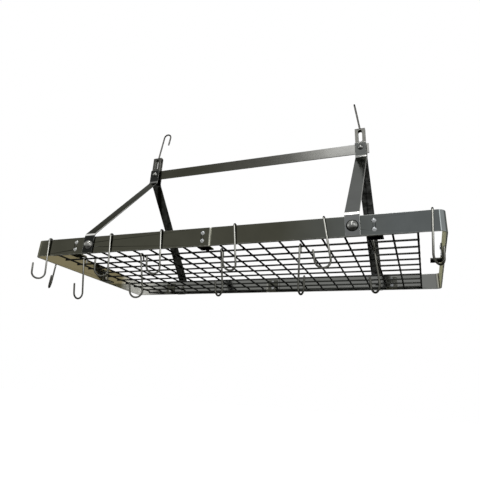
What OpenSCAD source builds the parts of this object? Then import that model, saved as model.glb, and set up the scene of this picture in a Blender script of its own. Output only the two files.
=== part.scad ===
// Ceiling pot rack: a rectangular band of flat bar round a loose wire grid, hung by four
// straps from a top bar and two slotted hanger brackets, with twelve twisted pot hooks.
// Millimetres, +Z up, front towards -Y. The origin is the point midway between the two
// ceiling hooks, at the height where their bends hang.

/* [Band] */
// Length of the rack over the band
rack_len = 914.4; // [820:0.1:1000]
// Depth of the rack over the band
rack_dep = 457.2; // [400:0.1:520]
// Height of the band's flat bar
band_h = 40; // [37:0.1:46]
// Thickness of the band's flat bar
band_t = 3; // [2.5:0.1:3.5]
// Outer radius of the band's corners
corner_r = 14; // [12:0.5:24]

/* [Lap joint] */
// Distance from the middle to the end of the outer layer
lap_end = 8.5; // [6:0.1:14]
// Length of the tongue behind the outer layer
tongue_len = 34; // [30:0.5:44]
// Gap between the end of the outer layer and the step of the tongue
lap_clear = 0.5; // [0.3:0.1:2]
// Inner radius of the step's two bends
step_r = 1.5; // [1:0.1:3]
// Angle of the step
step_angle = 45; // [30:1:60]

/* [Wire grid] */
// Diameter of the grid wires
grid_wire = 4; // [3.4:0.1:4.6]
// Wanted spacing of the grid wires, which fits a whole number of cells
grid_pitch = 43.1; // [38:0.1:50]
// Gap from the last cross wire to the end band
grid_end_gap = 42.75; // [36:0.25:60]
// Gap from the first long wire to the side band
grid_side_gap = 8.1; // [6:0.1:12]
// Clearance between the two layers of wire
layer_gap = 0.1; // [0.05:0.05:0.3]

/* [Grid tabs] */
// Width of a tab
tab_w = 28; // [22:0.5:34]
// Thickness of a tab
tab_t = 3; // [2:0.1:3.5]
// Height of a tab's plate
tab_h = 34; // [33:0.5:35.5]
// Length of a tab's leg from its plate's outer face
leg_len = 25; // [20:0.5:32]
// Inner radius of a tab's bend
tab_r = 1.5; // [1:0.1:3]
// Distance of the four outer tabs' middles from the band's ends
tab_inset = 120.2; // [106:0.1:128]
// Distance of the two middle tabs from the middle
mid_tab_x = 7; // [6:0.5:10]
// Distance of the two end tabs from the middle of the depth
end_tab_y = 40; // [20:0.5:60]

/* [Rivets] */
// Diameter of a rivet's shank
rivet_d = 5; // [4:0.1:6]
// Diameter of a rivet's domed head
rivet_head_d = 9.5; // [8:0.1:11]
// Height of a rivet's domed head
rivet_head_h = 2.6; // [2:0.1:3.5]
// Diameter of a rivet's flattened tail
rivet_tail_d = 8; // [7:0.1:10]
// Thickness of a rivet's flattened tail
rivet_tail_h = 1.4; // [1:0.1:2]
// Distance between the two rivets of a pair
rivet_pitch = 17; // [14:0.5:20]

/* [Straps] */
// Distance of the straps and brackets from the band's ends
strap_inset = 158.2; // [152:0.1:172]
// Width of the straps
strap_w = 28; // [20:0.1:30]
// Thickness of the straps
strap_t = 3; // [2.5:0.1:4]
// Inner radius of the bend above the band
strap_foot_r = 8; // [4:0.5:14]
// Inner radius of the bend below the top bar
strap_head_r = 14; // [8:0.5:20]
// Height of the lower bend above the band
strap_foot_rise = 1; // [0:0.5:6]
// Drop of the upper bend below the top bar
strap_head_drop = 8; // [1:0.1:12]

/* [Top bar] */
// Height of the top bar's lower edge above the band's lower edge
bar_rise = 295; // [250:0.1:340]
// Height of the top bar
bar_h = 28; // [22:0.1:30]
// Thickness of the top bar
bar_t = 3; // [2.5:0.1:4]
// Length of the top bar beyond each bracket's middle
bar_over = 19.5; // [16:0.5:30]

/* [Hanger brackets] */
// Height of a bracket
bracket_h = 72; // [66:0.5:80]
// Width of a bracket's strip
bracket_w = 25.4; // [20:0.1:28]
// Thickness of a bracket's strip
bracket_t = 2.5; // [2:0.1:3.5]
// Inner gap between a bracket's legs
bracket_gap = 8.4; // [8:0.1:12]
// Inner radius of a bracket's two bends
bracket_r = 1.5; // [1:0.1:3]
// Width of the slots
slot_w = 10; // [8:0.1:12]
// Length of the slots
slot_len = 35; // [28:0.5:36]
// Distance from the bracket's top to the slots
slot_top = 5.5; // [5:0.1:7]

/* [Ceiling hooks] */
// Wire diameter of a ceiling hook
ceiling_wire = 4.5; // [4:0.1:5.5]
// Length of a ceiling hook's straight shank above the bracket
ceiling_rise = 72; // [50:0.5:100]
// Radius of a ceiling hook's bend at the wire's middle
ceiling_r = 11; // [8:0.5:14]
// Length of the straight end beyond the bend
ceiling_tip = 24; // [10:0.5:40]
// Diameter of the upset head inside the bracket
ceiling_head_d = 7.4; // [6.6:0.1:7.6]
// Height of the upset head
ceiling_head_h = 3; // [2:0.1:4]
// Lean of the ceiling hooks towards the middle
ceiling_lean = 8; // [0:0.5:10]
// Turn of the right ceiling hook about its shank
right_hook_turn = 90; // [0:5:90]

/* [Strap and apex bolts] */
// Shank diameter of the strap bolts
bolt_d = 8; // [6:0.1:9]
// Diameter of the strap bolts' domed heads
bolt_head_d = 23; // [18:0.5:25]
// Height of the strap bolts' domed heads
bolt_head_h = 8.5; // [5:0.5:10]
// Width across the flats of the strap bolts' nuts
nut_af = 13; // [11:0.1:15]
// Thickness of the strap bolts' nuts
nut_h = 6.5; // [4:0.1:8]
// Shank diameter of the apex bolts
apex_d = 6; // [5:0.1:7]
// Diameter of the apex bolts' domed heads
apex_head_d = 15; // [12:0.5:18]
// Height of the apex bolts' domed heads
apex_head_h = 5; // [3:0.5:7]
// Width across the flats of the apex bolts' nuts
apex_nut_af = 10; // [9:0.1:12]
// Thickness of the apex bolts' nuts
apex_nut_h = 5; // [4:0.1:7]
// Thickness of the washers under the nuts
washer_t = 1.6; // [1:0.1:2.5]
// Outer diameter of the washers and spacers over the bolt's diameter
washer_over = 9; // [7:0.5:11]
// Length of thread that stands out of a nut
thread_out = 2.5; // [1:0.5:4]
// Clearance of a bolt or rivet in its hole, on the radius
hole_clear = 0.2; // [0.1:0.05:0.4]

/* [Pot hooks] */
// Wire diameter of the pot hooks
hook_wire = 4; // [3.4:0.1:4.4]
// Radius of the clip at the wire's middle
clip_r = 5.5; // [5.2:0.1:6.5]
// Length of the clip's short leg
clip_leg = 8; // [5:0.5:12]
// Length of the straight shank
shank_len = 78.8; // [60:0.1:95]
// Radius of the bow at the wire's middle
bow_r = 14.5; // [11:0.5:17]
// Length of the straight tip beyond the bow
tip_len = 20; // [10:0.5:30]
// Clearance of a pot hook from what carries it
hook_clear = 0.3; // [0.2:0.05:0.5]

/* [Places of the pot hooks] */
// Distance of the first band hook from the left end
band_hook_1_inset = 39.2; // [26:0.1:95]
// Distance of the second band hook from the left end
band_hook_2_inset = 218.2; // [182:0.1:260]
// Distance of the third band hook to the left of the middle
band_hook_3_left = 107; // [45:0.5:150]
// Distance of the fourth band hook to the right of the middle
band_hook_4_right = 65; // [30:0.5:130]
// Distance of the fifth band hook from the right end
band_hook_5_inset = 210.2; // [184:0.1:275]
// Distance of the sixth band hook from the right end
band_hook_6_inset = 21.2; // [21.2:0.1:90]
// Distance of the end hook from the front
end_hook_inset = 78.6; // [30:0.1:200]
// Distance of the first grid hook from the cross wire on its left
grid_hook_1_off = 15.35; // [6:0.05:36]
// Distance of the second grid hook from the cross wire on its left
grid_hook_2_off = 6.45; // [6:0.05:36]
// Distance of the third grid hook from the cross wire on its right
grid_hook_3_off = 6.55; // [6:0.05:36]
// Distance of the fourth grid hook from the cross wire on its right
grid_hook_4_off = 6.45; // [6:0.05:36]
// Distance of the fifth grid hook from the cross wire on its left
grid_hook_5_off = 6.25; // [6:0.05:36]

/* [Hidden] */
$fn = 48;

steel = "dimgray";
dark_steel = "darkslategray";
wire_steel = "slategray";
bright_steel = "silver";

// The band's faces, the middle of its height, and the places of the straps and the outer tabs
side_y = rack_dep / 2;
end_x = rack_len / 2;
band_mid = band_h / 2;
strap_x = end_x - strap_inset;
tab_x = end_x - tab_inset;

// The step of the tongue: its slanted length and its length along the band
step_k = 2 * step_r + band_t;
step_run = (band_t - step_k * (1 - cos(step_angle))) / sin(step_angle);
step_len = step_k * sin(step_angle) + step_run * cos(step_angle);
// The rear side starts at a whole number of millimetres past the step
step_end = lap_end + lap_clear + step_len;
rear_start = ceil(step_end) + 1;

// Grid: whole cells between the gaps, long wires on the legs, cross wires on the long ones
span_x = rack_len - 2 * band_t - 2 * grid_end_gap - grid_wire;
span_y = rack_dep - 2 * band_t - 2 * grid_side_gap - grid_wire;
cells_x = round(span_x / grid_pitch);
cells_y = round(span_y / grid_pitch);
pitch_x = span_x / cells_x;
pitch_y = span_y / cells_y;
long_z = tab_t + grid_wire / 2;
cross_z = long_z + grid_wire + layer_gap;

// Places along the band of the six hooks on the front, and the way each bow opens
band_hook_x = [
    -end_x + band_hook_1_inset, -end_x + band_hook_2_inset, -band_hook_3_left,
    band_hook_4_right, end_x - band_hook_5_inset, end_x - band_hook_6_inset
];
band_hook_way = [[-3, -4], [-3, -4], [-3, -4], [-3, -4], [-24, -7], [3, 4]];
// The five hooks on the second long wire hang at a distance from these cross wires, counted
// from the left
grid_hook_wire = [1, 5, floor(cells_x / 2) + 1, cells_x - 5, cells_x - 2];
grid_hook_off =
    [grid_hook_1_off, grid_hook_2_off, -grid_hook_3_off, -grid_hook_4_off, grid_hook_5_off];
grid_hook_way = [[0, -1], [-24, -7], [-4, 3], [3, -4], [-3, 4]];
function grid_hook_x(i) = -span_x / 2 + pitch_x * grid_hook_wire[i] + grid_hook_off[i];
// Place along the left end of the hook there, and the way its bow opens as seen from outside
end_hook_y = -side_y + end_hook_inset;
end_hook_way = [-3, -4];

// Straps: the lean and the length of the slanted part follow from where it starts and ends
strap_foot_z = band_h + strap_foot_rise;
strap_head_z = bar_rise - strap_head_drop;
strap_reach = side_y - bracket_gap / 2 - bracket_t;
strap_k = strap_foot_r + strap_head_r + strap_t;
strap_climb = strap_head_z - strap_foot_z;
strap_lean = acos(-strap_k / norm([strap_reach - strap_k, strap_climb]))
    - atan2(strap_climb, strap_reach - strap_k);
strap_run = (strap_climb - strap_k * sin(strap_lean)) / cos(strap_lean);

// Apex: heights of the bar, its bolts, the brackets and the ceiling hooks
bar_top = bar_rise + bar_h;
apex_z = bar_rise + bar_h / 2;
bracket_top = bar_rise + bracket_h;
apex_face = bracket_gap / 2 + bracket_t + strap_t;
hole_z = bracket_top - bracket_t / 2;
hang_z = hole_z + bracket_t / 2 + (ceiling_rise + ceiling_r - ceiling_wire / 2) * cos(ceiling_lean);
head_drop = bracket_t / 2 + hook_clear + ceiling_head_d / 2 * tan(ceiling_lean);

// Pot hooks: where a free hook's weight lies, seen from the middle of its clip
arc_clip = PI * clip_r;
arc_bow = PI * bow_r;
hook_len = arc_clip + clip_leg + shank_len + arc_bow + tip_len;
weight_bow = (arc_bow * bow_r + tip_len * 2 * bow_r) / hook_len;
weight_shank = clip_r * (shank_len + arc_bow + tip_len - clip_leg) / hook_len;
weight_z = (shank_len * shank_len / 2 + arc_bow * (shank_len + bow_r * 2 / PI)
    + tip_len * (shank_len - tip_len / 2) + clip_leg * clip_leg / 2
    - arc_clip * clip_r * 2 / PI) / hook_len;
// Height of the clip's middle over the band's top edge, and over a wire's middle
band_seat = -sqrt(pow(clip_r - hook_wire / 2 - hook_clear, 2) - pow(band_t / 2, 2));
wire_seat = grid_wire / 2 + hook_clear - (clip_r - hook_wire / 2);
// Lean at which a shank meets the band's lower edge
touch_lean = atan((clip_r - (hook_wire + band_t) / 2 - hook_clear) / band_h);

// Number of flats in a bend that isn't a right angle
arc_steps = 12;

// Lean along the support, and across it, at which a hook hangs still
function lean_along(way, seat) = atan(weight_bow * way[0] / norm(way) / (weight_z - seat));
function lean_across(way, seat) =
    atan((weight_shank - weight_bow * way[1] / norm(way)) / (weight_z - seat));

// A strip bent to the left from flat bar: steps of [straight length, turn, inner radius],
// with the thickness on the left of the path and the width upwards
module bent_bar(steps, width, thick, i = 0) {
    run = steps[i][0];
    turn = steps[i][1];
    rad = steps[i][2];
    cube([run, thick, width]);
    if (turn > 0) translate([run, thick + rad, 0]) {
        rotate([0, 0, -90])
            rotate_extrude(angle = turn) translate([rad, 0]) square([thick, width]);
        rotate([0, 0, turn]) translate([0, -thick - rad, 0])
            bent_bar(steps, width, thick, i + 1);
    }
}

// Points of an arc about a centre
function arc(centre, r, from, to) = [for (i = [0 : arc_steps])
    centre + r * [cos(from + (to - from) * i / arc_steps), sin(from + (to - from) * i / arc_steps)]];

// A strip with a step to the right: it runs on, bends away by an angle, slants, bends back and
// runs on, with the thickness on the left of the path and the width upwards
module stepped_bar(first, angle, r1, slant, r2, last, width, thick) {
    c1 = [first, -r1];
    c2 = c1 + slant * [cos(angle), -sin(angle)] + (r1 + r2 + thick) * [sin(angle), cos(angle)];
    right = concat([[0, 0]], arc(c1, r1, 90, 90 - angle),
        arc(c2, r2 + thick, 270 - angle, 270), [[c2[0] + last, c2[1] - r2 - thick]]);
    left = concat([[c2[0] + last, c2[1] - r2]], arc(c2, r2, 270, 270 - angle),
        arc(c1, r1 + thick, 90 - angle, 90), [[0, thick]]);
    linear_extrude(width) polygon(concat(right, left));
}

// Low dome on the XY plane, of the given diameter and height
module dome(d, h) {
    ball_r = (h * h + d * d / 4) / (2 * h);
    intersection() {
        translate([0, 0, h - ball_r]) sphere(r = ball_r);
        cylinder(d = d, h = h);
    }
}

// Moves the rack, which is drawn with its band's lower edge at z = 0, to hang at the origin
module hung() {
    translate([0, 0, -hang_z]) children();
}

// Repeats its children at the front and, turned by half a turn, at the rear
module both_sides() {
    for (a = [0, 180]) rotate([0, 0, a]) children();
}

// Puts its children, drawn outwards along +Z, on the front face at a place and a height
module on_face(x, y, z) {
    translate([x, y, z]) rotate([90, 0, 0]) children();
}

// The two rivets of a pair, one over the other
module rivet_pair() {
    for (s = [-1, 1]) translate([0, s * rivet_pitch / 2, 0]) children();
}

// The places of all rivet pairs, drawn outwards along +Z from the band's outer face
module tab_rivet_places() {
    both_sides() {
        for (x = [-tab_x, tab_x]) on_face(x, -side_y, band_mid) children();
        rotate([0, 0, -90]) on_face(-end_tab_y, -end_x, band_mid) children();
    }
}
module lap_rivet_places() {
    both_sides() on_face(-mid_tab_x, -side_y, band_mid) children();
}

// The places of the four strap bolts
module strap_bolt_places() {
    both_sides() for (x = [-strap_x, strap_x]) on_face(x, -side_y, band_mid) children();
}

// Rivet through a stack of the given thickness, from its outer face inwards
module rivet(stack) {
    union() {
        dome(rivet_head_d, rivet_head_h);
        translate([0, 0, -stack]) cylinder(d = rivet_d, h = stack);
        translate([0, 0, -stack - rivet_tail_h]) cylinder(d = rivet_tail_d, h = rivet_tail_h);
    }
}

// All the holes through the band
module band_holes() {
    deep = 3 * band_t;
    hole_d = rivet_d + 2 * hole_clear;
    tab_rivet_places() rivet_pair() translate([0, 0, -deep]) cylinder(d = hole_d, h = 2 * deep);
    lap_rivet_places() rivet_pair() translate([0, 0, -deep]) cylinder(d = hole_d, h = 2 * deep);
    strap_bolt_places() translate([0, 0, -deep])
        cylinder(d = bolt_d + 2 * hole_clear, h = 2 * deep);
}

// The left half of the band: the rear side, the left end and the front side up to the lap,
// and the tongue at the rear, which steps in behind the other half. The tongue's piece runs
// a little into the rear side.
module half_band() {
    inner_r = corner_r - band_t;
    rear_run = end_x - corner_r - rear_start;
    steps = [
        [rear_run, 90, inner_r],
        [rack_dep - 2 * corner_r, 90, inner_r],
        [end_x - corner_r + lap_end, 0, 0]
    ];
    translate([-rear_start, side_y, 0]) rotate([0, 0, 180]) bent_bar(steps, band_h, band_t);
    translate([tongue_len - lap_end, side_y - band_t, 0]) rotate([0, 0, 180])
        stepped_bar(tongue_len + lap_clear, step_angle, step_r, step_run, step_r,
            rear_start - step_end + band_t, band_h, band_t);
}
module frame_left_half() {
    hung() color(steel) difference() {
        half_band();
        band_holes();
    }
}
module frame_right_half() {
    hung() color(steel) difference() {
        rotate([0, 0, 180]) half_band();
        band_holes();
    }
}

// Grid of two layers of straight wires
module grid_long_wires() {
    hung() color(dark_steel) for (i = [0 : cells_y])
        translate([-span_x / 2 - grid_wire / 2, -span_y / 2 + i * pitch_y, long_z])
            rotate([0, 90, 0]) cylinder(d = grid_wire, h = span_x + grid_wire);
}
module grid_cross_wires() {
    hung() color(dark_steel) for (i = [0 : cells_x])
        translate([-span_x / 2 + i * pitch_x, span_y / 2 + grid_wire / 2, cross_z])
            rotate([90, 0, 0]) cylinder(d = grid_wire, h = span_y + grid_wire);
}

// Angle tab that carries the grid: its plate stands at y = 0 and its leg reaches towards +Y
module grid_tab() {
    difference() {
        translate([tab_w / 2, leg_len, 0]) rotate([90, 0, -90])
            bent_bar([[leg_len - tab_t - tab_r, 90, tab_r], [tab_h - tab_t - tab_r, 0, 0]],
                tab_w, tab_t);
        translate([0, 0, band_mid]) rotate([90, 0, 0]) rivet_pair()
            translate([0, 0, -2 * tab_t]) cylinder(d = rivet_d + 2 * hole_clear, h = 4 * tab_t);
    }
}
// A tab on the front band at x, or behind the lap there
module front_tab(x, behind = 0) {
    translate([x, -side_y + band_t + behind, 0]) grid_tab();
}
module end_tab() {
    rotate([0, 0, -90]) translate([-end_tab_y, -end_x + band_t, 0]) grid_tab();
}
module tab_front_left() { hung() color(steel) front_tab(-tab_x); }
module tab_front_middle() { hung() color(steel) front_tab(-mid_tab_x, band_t); }
module tab_front_right() { hung() color(steel) front_tab(tab_x); }
module tab_rear_left() { hung() color(steel) rotate([0, 0, 180]) front_tab(tab_x); }
module tab_rear_middle() { hung() color(steel) rotate([0, 0, 180]) front_tab(-mid_tab_x, band_t); }
module tab_rear_right() { hung() color(steel) rotate([0, 0, 180]) front_tab(-tab_x); }
module tab_end_left() { hung() color(steel) end_tab(); }
module tab_end_right() { hung() color(steel) rotate([0, 0, 180]) end_tab(); }

module tab_rivets() {
    hung() color(bright_steel) tab_rivet_places() rivet_pair() rivet(band_t + tab_t);
}
module lap_rivets() {
    hung() color(bright_steel) lap_rivet_places() rivet_pair() rivet(2 * band_t + tab_t);
}

// Strap from the front band's face up to the bracket's face
module front_strap(x) {
    difference() {
        translate([x - strap_w / 2, -side_y, 0]) rotate([0, -90, 180])
            stepped_bar(strap_foot_z, strap_lean, strap_foot_r, strap_run, strap_head_r,
                bar_top - strap_head_z, strap_w, strap_t);
        on_face(x, -side_y, band_mid) translate([0, 0, -strap_t])
            cylinder(d = bolt_d + 2 * hole_clear, h = 3 * strap_t);
        on_face(x, -apex_face, apex_z) translate([0, 0, -2 * strap_t])
            cylinder(d = apex_d + 2 * hole_clear, h = 3 * strap_t);
    }
}
module strap_front_left() { hung() color(steel) front_strap(-strap_x); }
module strap_front_right() { hung() color(steel) front_strap(strap_x); }
module strap_rear_left() { hung() color(steel) rotate([0, 0, 180]) front_strap(strap_x); }
module strap_rear_right() { hung() color(steel) rotate([0, 0, 180]) front_strap(-strap_x); }

// Strap bolt from its head's seat on the strap, through the band, its washer and its nut
module strap_bolts() {
    shank = band_t + washer_t + nut_h + thread_out + strap_t;
    hung() color(bright_steel) strap_bolt_places() translate([0, 0, strap_t]) {
        dome(bolt_head_d, bolt_head_h);
        translate([0, 0, -shank]) cylinder(d = bolt_d, h = shank);
    }
}
module strap_washers() {
    hung() color(bright_steel) strap_bolt_places() translate([0, 0, -band_t - washer_t])
        ring(bolt_d, washer_t);
}
module strap_nuts() {
    hung() color(bright_steel) strap_bolt_places() translate([0, 0, -band_t - washer_t - nut_h])
        nut(nut_af, bolt_d, nut_h);
}

// Round washer or spacer over a bolt of diameter d
module ring(d, h) {
    difference() {
        cylinder(d = d + washer_over, h = h);
        translate([0, 0, -h]) cylinder(d = d + 2 * hole_clear, h = 3 * h);
    }
}

// Hexagon nut with its corners turned off, on a bolt of diameter d
module nut(af, d, h) {
    corner_d = af / cos(30);
    difference() {
        intersection() {
            cylinder(d = corner_d, h = h, $fn = 6);
            cylinder(d1 = corner_d * 1.1, d2 = af * 0.98, h = h);
        }
        translate([0, 0, -h]) cylinder(d = d + hole_clear, h = 3 * h);
    }
}

// Flat bar between the two brackets
module top_bar() {
    len = 2 * (strap_x + bar_over);
    hung() color(steel) difference() {
        translate([-len / 2, -bar_t / 2, bar_rise]) cube([len, bar_t, bar_h]);
        for (x = [-strap_x, strap_x]) on_face(x, 0, apex_z) translate([0, 0, -bar_t])
            cylinder(d = apex_d + 2 * hole_clear, h = 2 * bar_t);
    }
}

// Bracket folded over the top bar, with a slot in each leg and a hole for the ceiling hook
module bracket(x) {
    leg = bracket_h - bracket_t - bracket_r;
    flat = bracket_gap - 2 * bracket_r;
    slot_high = bracket_top - slot_top - slot_w / 2;
    slot_low = bracket_top - slot_top - slot_len + slot_w / 2;
    difference() {
        translate([x + bracket_w / 2, -bracket_gap / 2 - bracket_t, bar_rise])
            rotate([0, -90, 0])
                bent_bar([[leg, 90, bracket_r], [flat, 90, bracket_r], [leg, 0, 0]],
                    bracket_w, bracket_t);
        for (z = [slot_low, slot_high]) on_face(x, 0, z) translate([0, 0, -bracket_gap])
            cylinder(d = slot_w, h = 2 * bracket_gap);
        translate([x - slot_w / 2, -bracket_gap, slot_low])
            cube([slot_w, 2 * bracket_gap, slot_high - slot_low]);
        on_face(x, 0, apex_z) translate([0, 0, -bracket_gap])
            cylinder(d = apex_d + 2 * hole_clear, h = 2 * bracket_gap);
        translate([x, 0, hole_z - bracket_t])
            cylinder(r = ceiling_wire / 2 + hook_clear + bracket_t / 2 * tan(ceiling_lean) + 0.05,
                h = 2 * bracket_t);
    }
}
module hanger_bracket_left() { hung() color(bright_steel) bracket(-strap_x); }
module hanger_bracket_right() { hung() color(bright_steel) bracket(strap_x); }

// Spacers between the bar and the bracket's legs, and the bolt, washer and nut of each apex
module apex_spacers() {
    gap = (bracket_gap - bar_t) / 2;
    hung() color(bright_steel) both_sides() for (x = [-strap_x, strap_x])
        on_face(x, -bar_t / 2, apex_z) ring(apex_d, gap);
}
module apex_bolts() {
    shank = 2 * apex_face + washer_t + apex_nut_h + thread_out;
    hung() color(bright_steel) for (x = [-strap_x, strap_x]) on_face(x, -apex_face, apex_z) {
        dome(apex_head_d, apex_head_h);
        translate([0, 0, -shank]) cylinder(d = apex_d, h = shank);
    }
}
module apex_washers() {
    hung() color(bright_steel) for (x = [-strap_x, strap_x])
        on_face(x, apex_face + washer_t, apex_z) ring(apex_d, washer_t);
}
module apex_nuts() {
    hung() color(bright_steel) for (x = [-strap_x, strap_x])
        on_face(x, apex_face + washer_t + apex_nut_h, apex_z) nut(apex_nut_af, apex_d, apex_nut_h);
}

// Half ring of round wire that starts at the origin and bows down towards +X
module half_ring(r, d) {
    translate([r, 0, 0]) rotate([90, 0, 0]) rotate([0, 0, 180])
        rotate_extrude(angle = 180) translate([r, 0]) circle(d = d);
}
// Straight wire from the origin downwards, with a round end where it is wanted
module straight_wire(len, d, round_end = false) {
    translate([0, 0, -len]) cylinder(d = d, h = len);
    if (round_end) translate([0, 0, -len]) sphere(d = d);
}

// Ceiling hook with its shank through the bracket's hole and its upset head under it
module ceiling_hook(x, lean, turn) {
    rise = bracket_t / 2 + ceiling_rise;
    translate([x, 0, hole_z]) rotate([0, lean, 0]) rotate([0, 0, turn]) {
        translate([0, 0, -head_drop - ceiling_head_h])
            cylinder(d = ceiling_head_d, h = ceiling_head_h);
        translate([0, 0, -head_drop]) cylinder(d = ceiling_wire, h = rise + head_drop);
        translate([0, 0, rise]) mirror([0, 0, 1]) half_ring(ceiling_r, ceiling_wire);
        translate([2 * ceiling_r, 0, rise]) straight_wire(ceiling_tip, ceiling_wire, true);
    }
}
module ceiling_hook_left() {
    hung() color(bright_steel) ceiling_hook(-strap_x, ceiling_lean, 0);
}
module ceiling_hook_right() {
    hung() color(bright_steel) ceiling_hook(strap_x, -ceiling_lean, right_hook_turn);
}

// Pot hook: a clip over its support, a shank on its front side and a bow that is turned
// about the shank. The origin is where it hangs, and seat is the height of the clip's middle.
module pot_hook(seat, way) {
    translate([0, 0, seat]) {
        translate([0, clip_r, 0]) rotate([0, 0, -90]) mirror([0, 0, 1])
            half_ring(clip_r, hook_wire);
        translate([0, clip_r, 0]) straight_wire(clip_leg, hook_wire, true);
        translate([0, -clip_r, 0]) {
            straight_wire(shank_len, hook_wire);
            translate([0, 0, -shank_len]) rotate([0, 0, atan2(way[1], way[0])]) {
                half_ring(bow_r, hook_wire);
                translate([2 * bow_r, 0, 0]) mirror([0, 0, 1])
                    straight_wire(tip_len, hook_wire, true);
            }
        }
    }
}
// Hooks on the front band, hanging still with their shanks against its lower edge
module band_hook(i) {
    way = band_hook_way[i];
    hung() color(wire_steel) translate([band_hook_x[i], -side_y + band_t / 2, band_h])
        rotate([min(touch_lean, lean_across(way, band_seat)), lean_along(way, band_seat), 0])
            pot_hook(band_seat, way);
}
// Hooks on the second long wire of the grid, hanging still
module grid_hook(i) {
    way = grid_hook_way[i];
    hung() color(wire_steel) translate([grid_hook_x(i), -span_y / 2 + pitch_y, long_z])
        rotate([lean_across(way, wire_seat), lean_along(way, wire_seat), 0])
            pot_hook(wire_seat, way);
}
module end_hook() {
    way = end_hook_way;
    hung() color(wire_steel) rotate([0, 0, -90])
        translate([-end_hook_y, -end_x + band_t / 2, band_h])
            rotate([min(touch_lean, lean_across(way, band_seat)),
                lean_along(way, band_seat), 0])
                pot_hook(band_seat, way);
}
module band_hook_1() { band_hook(0); }
module band_hook_2() { band_hook(1); }
module band_hook_3() { band_hook(2); }
module band_hook_4() { band_hook(3); }
module band_hook_5() { band_hook(4); }
module band_hook_6() { band_hook(5); }
module grid_hook_1() { grid_hook(0); }
module grid_hook_2() { grid_hook(1); }
module grid_hook_3() { grid_hook(2); }
module grid_hook_4() { grid_hook(3); }
module grid_hook_5() { grid_hook(4); }

frame_left_half();
frame_right_half();
grid_long_wires();
grid_cross_wires();
tab_front_left();
tab_front_middle();
tab_front_right();
tab_rear_left();
tab_rear_middle();
tab_rear_right();
tab_end_left();
tab_end_right();
tab_rivets();
lap_rivets();
strap_front_left();
strap_front_right();
strap_rear_left();
strap_rear_right();
strap_bolts();
strap_washers();
strap_nuts();
top_bar();
hanger_bracket_left();
hanger_bracket_right();
apex_spacers();
apex_bolts();
apex_washers();
apex_nuts();
ceiling_hook_left();
ceiling_hook_right();
band_hook_1();
band_hook_2();
band_hook_3();
band_hook_4();
band_hook_5();
band_hook_6();
grid_hook_1();
grid_hook_2();
grid_hook_3();
grid_hook_4();
grid_hook_5();
end_hook();
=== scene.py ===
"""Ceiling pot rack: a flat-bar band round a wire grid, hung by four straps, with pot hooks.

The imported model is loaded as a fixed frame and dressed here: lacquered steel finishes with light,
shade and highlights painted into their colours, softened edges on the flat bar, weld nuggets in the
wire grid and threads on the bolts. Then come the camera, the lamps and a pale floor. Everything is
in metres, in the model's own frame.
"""

from __future__ import annotations

import logging
import math
from dataclasses import dataclass, field
from enum import Enum
from typing import Optional, Union

import bmesh
import bpy
from mathutils import Matrix, Vector

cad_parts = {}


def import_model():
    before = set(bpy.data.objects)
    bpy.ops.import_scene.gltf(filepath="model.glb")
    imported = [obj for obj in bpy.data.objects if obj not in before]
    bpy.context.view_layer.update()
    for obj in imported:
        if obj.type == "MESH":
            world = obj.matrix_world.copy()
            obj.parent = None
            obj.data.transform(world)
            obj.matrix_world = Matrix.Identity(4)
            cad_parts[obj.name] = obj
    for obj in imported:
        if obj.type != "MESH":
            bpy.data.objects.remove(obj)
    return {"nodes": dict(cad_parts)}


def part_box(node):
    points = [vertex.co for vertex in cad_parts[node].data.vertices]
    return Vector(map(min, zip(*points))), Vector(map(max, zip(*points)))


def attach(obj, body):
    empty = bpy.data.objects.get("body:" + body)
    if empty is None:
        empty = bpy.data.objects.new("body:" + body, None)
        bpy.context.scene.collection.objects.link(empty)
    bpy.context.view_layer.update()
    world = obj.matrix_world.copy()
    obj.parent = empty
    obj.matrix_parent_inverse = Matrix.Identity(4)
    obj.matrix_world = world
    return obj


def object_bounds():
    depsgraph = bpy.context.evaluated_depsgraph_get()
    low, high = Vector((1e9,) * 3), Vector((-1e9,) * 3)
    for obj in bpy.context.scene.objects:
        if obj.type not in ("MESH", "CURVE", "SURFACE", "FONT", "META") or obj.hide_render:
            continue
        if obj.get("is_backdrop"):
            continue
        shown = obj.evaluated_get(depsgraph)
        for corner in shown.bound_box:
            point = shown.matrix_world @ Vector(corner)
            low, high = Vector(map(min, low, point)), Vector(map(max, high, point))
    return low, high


LOG = logging.getLogger("pot_rack")
MM = 0.001
RACK = "rack"
WHITE = (1.0, 1.0, 1.0, 1.0)

Value = Union[float, int, bool, str, tuple, bpy.types.NodeSocket]
Rgb = tuple[int, int, int]


class Slot(Enum):
    """The record's material slots."""

    FRAME = "frame_steel"
    GRID = "grid_steel"
    FASTENER = "fastener_steel"
    HOOK = "hook_steel"


class Run(Enum):
    """The way that a strip's rolling grain runs, as noise cells per metre along X, Y and Z."""

    LEVEL = (9.0, 9.0, 1500.0)
    UPRIGHT = (1500.0, 30.0, 9.0)
    SLANTED = (1500.0, 7.0, 7.0)
    ROUND = (260.0, 260.0, 260.0)


def linear(colour: Rgb) -> tuple[float, float, float, float]:
    """Turns a colour as seen on a screen into the linear one that a shader takes.

    Args:
        colour: its channels, from 0 to 255.

    Returns:
        The linear colour, with a full alpha.
    """

    def channel(value: int) -> float:
        """One channel by the sRGB curve."""
        part = value / 255.0
        return part / 12.92 if part <= 0.04045 else ((part + 0.055) / 1.055) ** 2.4

    red, green, blue = (channel(v) for v in colour)
    return (red, green, blue, 1.0)


def mesh_of(name: str, shape: bmesh.types.BMesh) -> bpy.types.Mesh:
    """Turns a finished shape into a mesh.

    Args:
        name: the mesh's name.
        shape: the shape, which is freed.

    Returns:
        The mesh.
    """
    mesh = bpy.data.meshes.new(name)
    shape.to_mesh(mesh)
    shape.free()
    return mesh


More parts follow.
